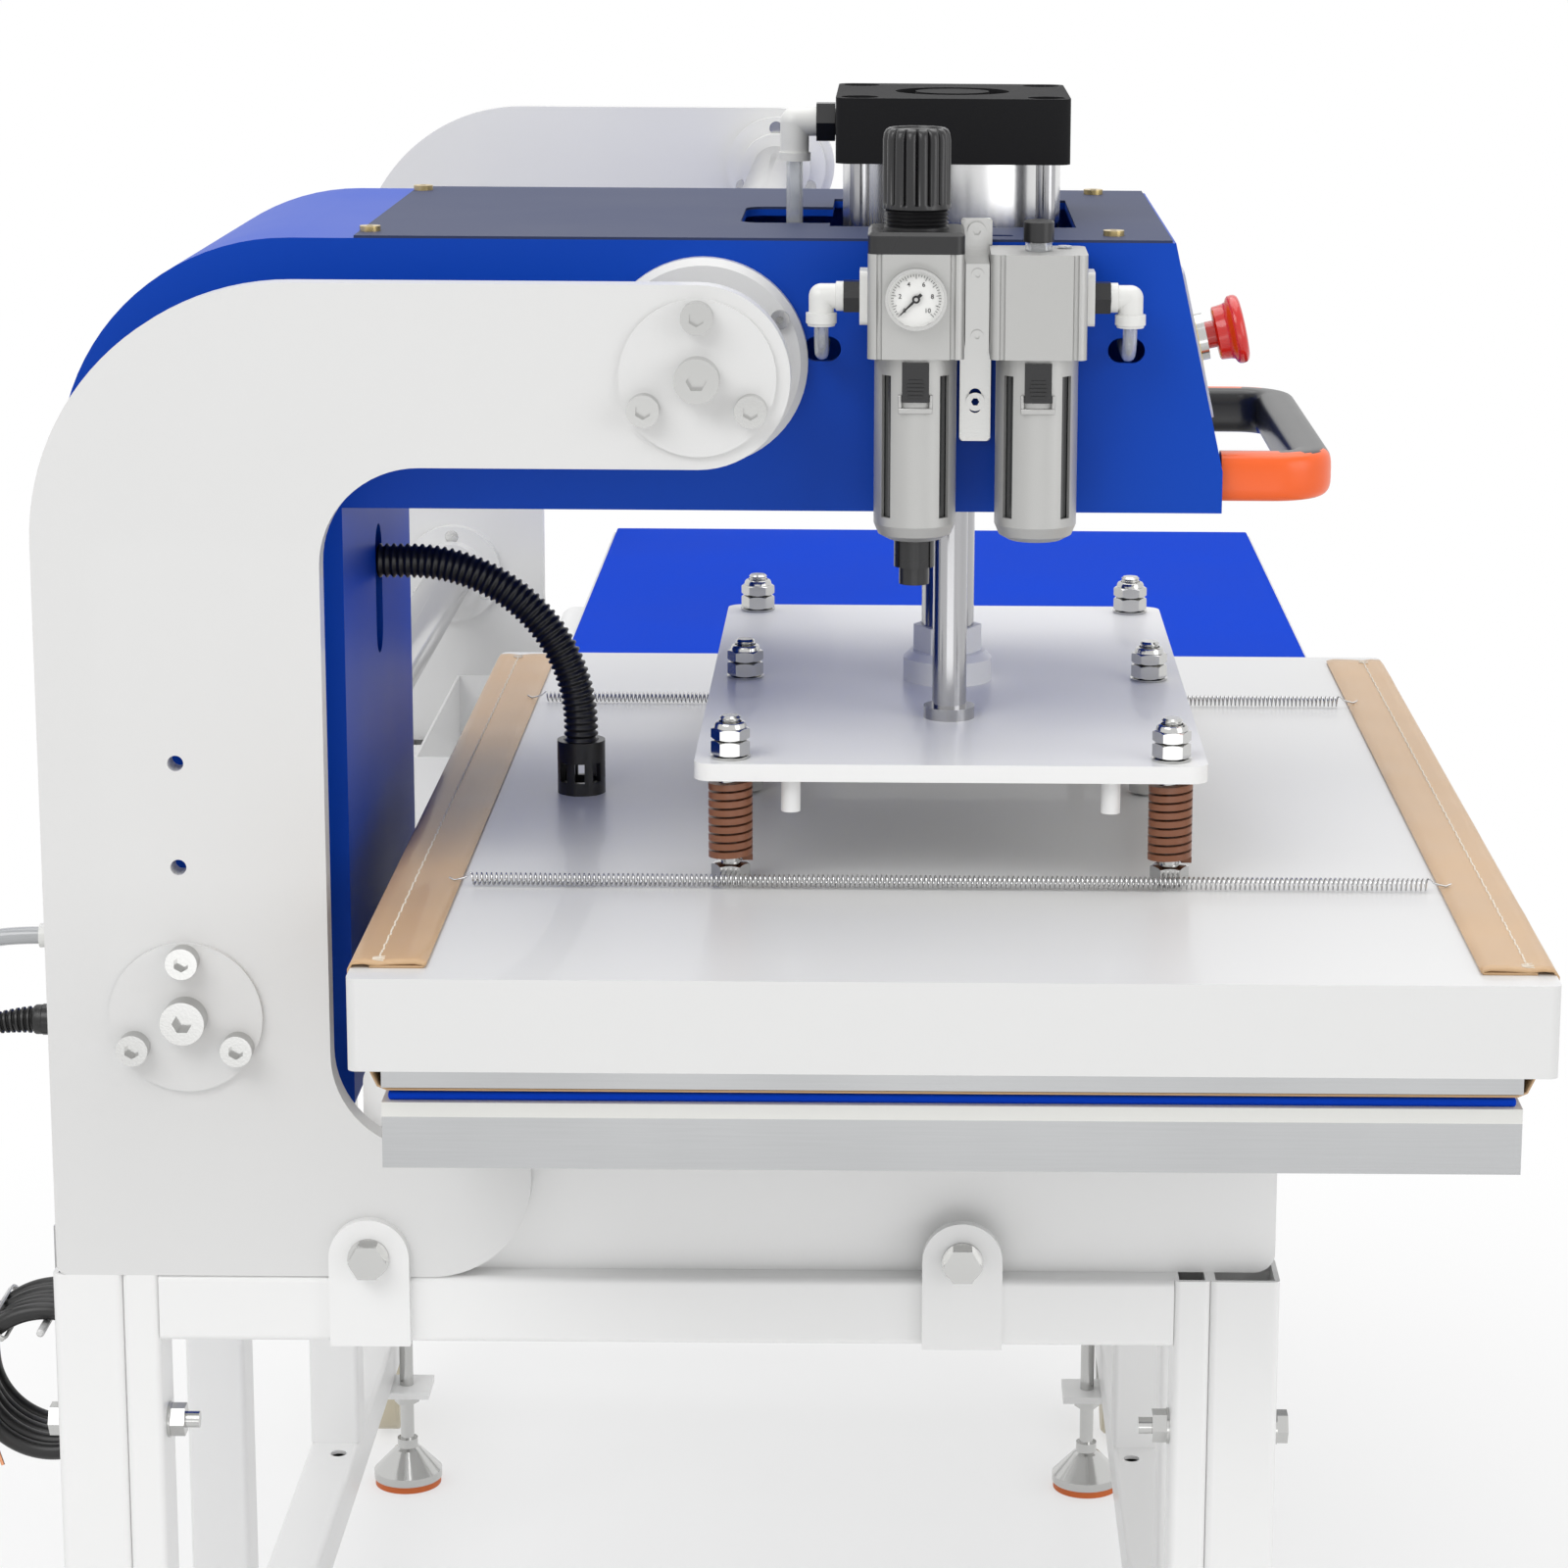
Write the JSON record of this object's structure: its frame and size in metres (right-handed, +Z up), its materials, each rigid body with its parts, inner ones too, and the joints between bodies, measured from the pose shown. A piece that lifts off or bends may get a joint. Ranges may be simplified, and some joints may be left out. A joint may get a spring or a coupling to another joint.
{
  "type": "dual station heat press",
  "caption": "Floor-standing heat press with two tables and one heated platen whose pneumatic head slides on two shafts.",
  "frame": {"origin": "centre of the machine's footprint on the floor", "axes": "+X is the operator's side, +Y runs from the near station to the far one, +Z is up"},
  "size_m": [0.9189, 1.76, 1.296],
  "materials": {
    "white_paint": "smooth white powder coat",
    "blue_paint": "semi-gloss blue powder coat",
    "bright_zinc": "bright zinc plated",
    "polished_steel": "hard chromed and polished",
    "aluminium": "mill finish",
    "cast_silver": "painted die casting",
    "black_metal": "black anodised, fine matt",
    "black_plastic": "moulded, fine texture",
    "red_plastic": "moulded, glossy",
    "clear_plastic": "clear tube",
    "white_plastic": "moulded",
    "silicone_blue": "silicone sponge pad, blue",
    "white_board": "pressed board, painted white",
    "tan_sheet": "coated glass cloth, brown",
    "spring_brown": "painted spring steel",
    "spring_steel": "drawn wire",
    "cream_wheel": "cast nylon",
    "mineral_mat": "mineral fibre mat",
    "black_rubber": "smooth",
    "grey_hose": "polyurethane hose",
    "dial_white": "printed dial"
  },
  "bodies": {
    "head": {"air_fittings": "white_plastic", "air_tubes": "clear_plastic", "bearing_flanges": "white_paint", "bowl_guards": "cast_silver", "cylinder_barrel": "aluminium", "cylinder_caps": "black_metal", "filter_regulator": "cast_silver", "front_panel": "white_paint", "handle": "black_plastic", "head_cover": "blue_paint", "head_shell": "blue_paint", "heater_hose": "black_plastic", "linear_bushes": "bright_zinc", "lubricator": "cast_silver", "pressure_gauge": "dial_white", "tie_rods": "polished_steel"},
    "stand": {"air_hose": "grey_hose", "base_box": "white_paint", "far_cheek": "white_paint", "frame_bolts": "bright_zinc", "guide_shafts": "polished_steel", "lower_frame": "white_paint", "mains_coil": "black_rubber", "mains_lead": "black_rubber", "near_cheek": "white_paint", "rear_fittings": "white_plastic", "rear_tray": "white_paint", "shaft_clamps": "white_paint", "stand_brackets": "white_paint", "table_boards": "white_board", "table_pads": "silicone_blue", "table_plates": "aluminium", "upper_frame": "white_paint"},
    "caster_swivel_1": {"caster_fork_1": "bright_zinc"},
    "caster_swivel_2": {"caster_fork_2": "bright_zinc"},
    "caster_swivel_3": {"caster_fork_3": "bright_zinc"},
    "caster_swivel_4": {"caster_fork_4": "bright_zinc"},
    "caster_roll_1": {"caster_wheel_1": "cream_wheel"},
    "caster_roll_2": {"caster_wheel_2": "cream_wheel"},
    "caster_roll_3": {"caster_wheel_3": "cream_wheel"},
    "caster_roll_4": {"caster_wheel_4": "cream_wheel"},
    "platen": {"die_springs": "spring_brown", "heater_core": "mineral_mat", "heater_plate": "aluminium", "platen_cover": "white_paint", "platen_studs": "bright_zinc", "release_sheet": "tan_sheet", "sheet_springs": "spring_steel"},
    "drain": {"drain_knob": "black_plastic"},
    "drip_control": {"drip_screw": "black_plastic"},
    "stop_button": {"estop_button": "red_plastic"},
    "needle": {"gauge_needle": "black_plastic"},
    "press_plate": {"guide_rods": "polished_steel", "piston_and_rod": "polished_steel", "pressure_plate": "white_paint"},
    "foot_1": {"leveling_foot_1": "bright_zinc"},
    "foot_2": {"leveling_foot_2": "bright_zinc"},
    "foot_3": {"leveling_foot_3": "bright_zinc"},
    "foot_4": {"leveling_foot_4": "bright_zinc"},
    "regulator_handwheel": {"regulator_knob": "black_plastic"}
  },
  "joints": [
    {"name": "head_travel", "type": "slide", "parent": "stand", "child": "head", "axis": [0, 1, 0], "range_m": [0, 0.94]},
    {"name": "platen_lift", "type": "slide", "parent": "head", "child": "platen", "axis": [0, 0, 1], "range_m": [0, 0.06], "deforming": ["heater_hose"]},
    {"name": "plate_float", "type": "slide", "parent": "platen", "child": "press_plate", "axis": [0, 0, 1], "range_m": [-0.008, 0], "stiffness_N_per_m": 24000, "springref_m": 0.012, "deforming": ["die_springs"]},
    {"name": "stop_press", "type": "slide", "parent": "head", "child": "stop_button", "axis": [-0.976, 0, -0.2177], "range_m": [0, 0.0045], "stiffness_N_per_m": 600},
    {"name": "regulator_turn", "type": "hinge", "parent": "head", "child": "regulator_handwheel", "pos_m": [0.0813, -0.66, 1.251], "axis": [0, 0, 1], "continuous": true},
    {"name": "needle_sweep", "type": "hinge", "parent": "head", "child": "needle", "pos_m": [0.0813, -0.6921, 1.197], "axis": [0, 1, 0], "range_deg": [0, 270]},
    {"name": "drain_turn", "type": "hinge", "parent": "head", "child": "drain", "pos_m": [0.0813, -0.66, 1.053], "axis": [0, 0, 1], "range_deg": [0, 90]},
    {"name": "drip_turn", "type": "hinge", "parent": "head", "child": "drip_control", "pos_m": [0.1491, -0.662, 1.229], "axis": [0, 0, 1], "range_deg": [0, 720]},
    {"name": "foot_screw_1", "type": "slide", "parent": "stand", "child": "foot_1", "axis": [0, 0, -1], "range_m": [0, 0.02]},
    {"name": "caster_swivel_turn_1", "type": "hinge", "parent": "stand", "child": "caster_swivel_1", "pos_m": [-0.3913, -0.63, 0.085], "axis": [0, 0, 1], "continuous": true},
    {"name": "caster_roll_turn_1", "type": "hinge", "parent": "caster_swivel_1", "child": "caster_roll_1", "pos_m": [-0.3913, -0.605, 0.0405], "axis": [1, 0, 0], "continuous": true},
    {"name": "foot_screw_2", "type": "slide", "parent": "stand", "child": "foot_2", "axis": [0, 0, -1], "range_m": [0, 0.02]},
    {"name": "caster_swivel_turn_2", "type": "hinge", "parent": "stand", "child": "caster_swivel_2", "pos_m": [-0.3913, 0.63, 0.085], "axis": [0, 0, 1], "continuous": true},
    {"name": "caster_roll_turn_2", "type": "hinge", "parent": "caster_swivel_2", "child": "caster_roll_2", "pos_m": [-0.3913, 0.605, 0.0405], "axis": [1, 0, 0], "continuous": true},
    {"name": "foot_screw_3", "type": "slide", "parent": "stand", "child": "foot_3", "axis": [0, 0, -1], "range_m": [0, 0.02]},
    {"name": "caster_swivel_turn_3", "type": "hinge", "parent": "stand", "child": "caster_swivel_3", "pos_m": [0.2747, -0.63, 0.085], "axis": [0, 0, 1], "continuous": true},
    {"name": "caster_roll_turn_3", "type": "hinge", "parent": "caster_swivel_3", "child": "caster_roll_3", "pos_m": [0.2747, -0.605, 0.0405], "axis": [1, 0, 0], "continuous": true},
    {"name": "foot_screw_4", "type": "slide", "parent": "stand", "child": "foot_4", "axis": [0, 0, -1], "range_m": [0, 0.02]},
    {"name": "caster_swivel_turn_4", "type": "hinge", "parent": "stand", "child": "caster_swivel_4", "pos_m": [0.2747, 0.63, 0.085], "axis": [0, 0, 1], "continuous": true},
    {"name": "caster_roll_turn_4", "type": "hinge", "parent": "caster_swivel_4", "child": "caster_roll_4", "pos_m": [0.2747, 0.605, 0.0405], "axis": [1, 0, 0], "continuous": true}
  ]
}
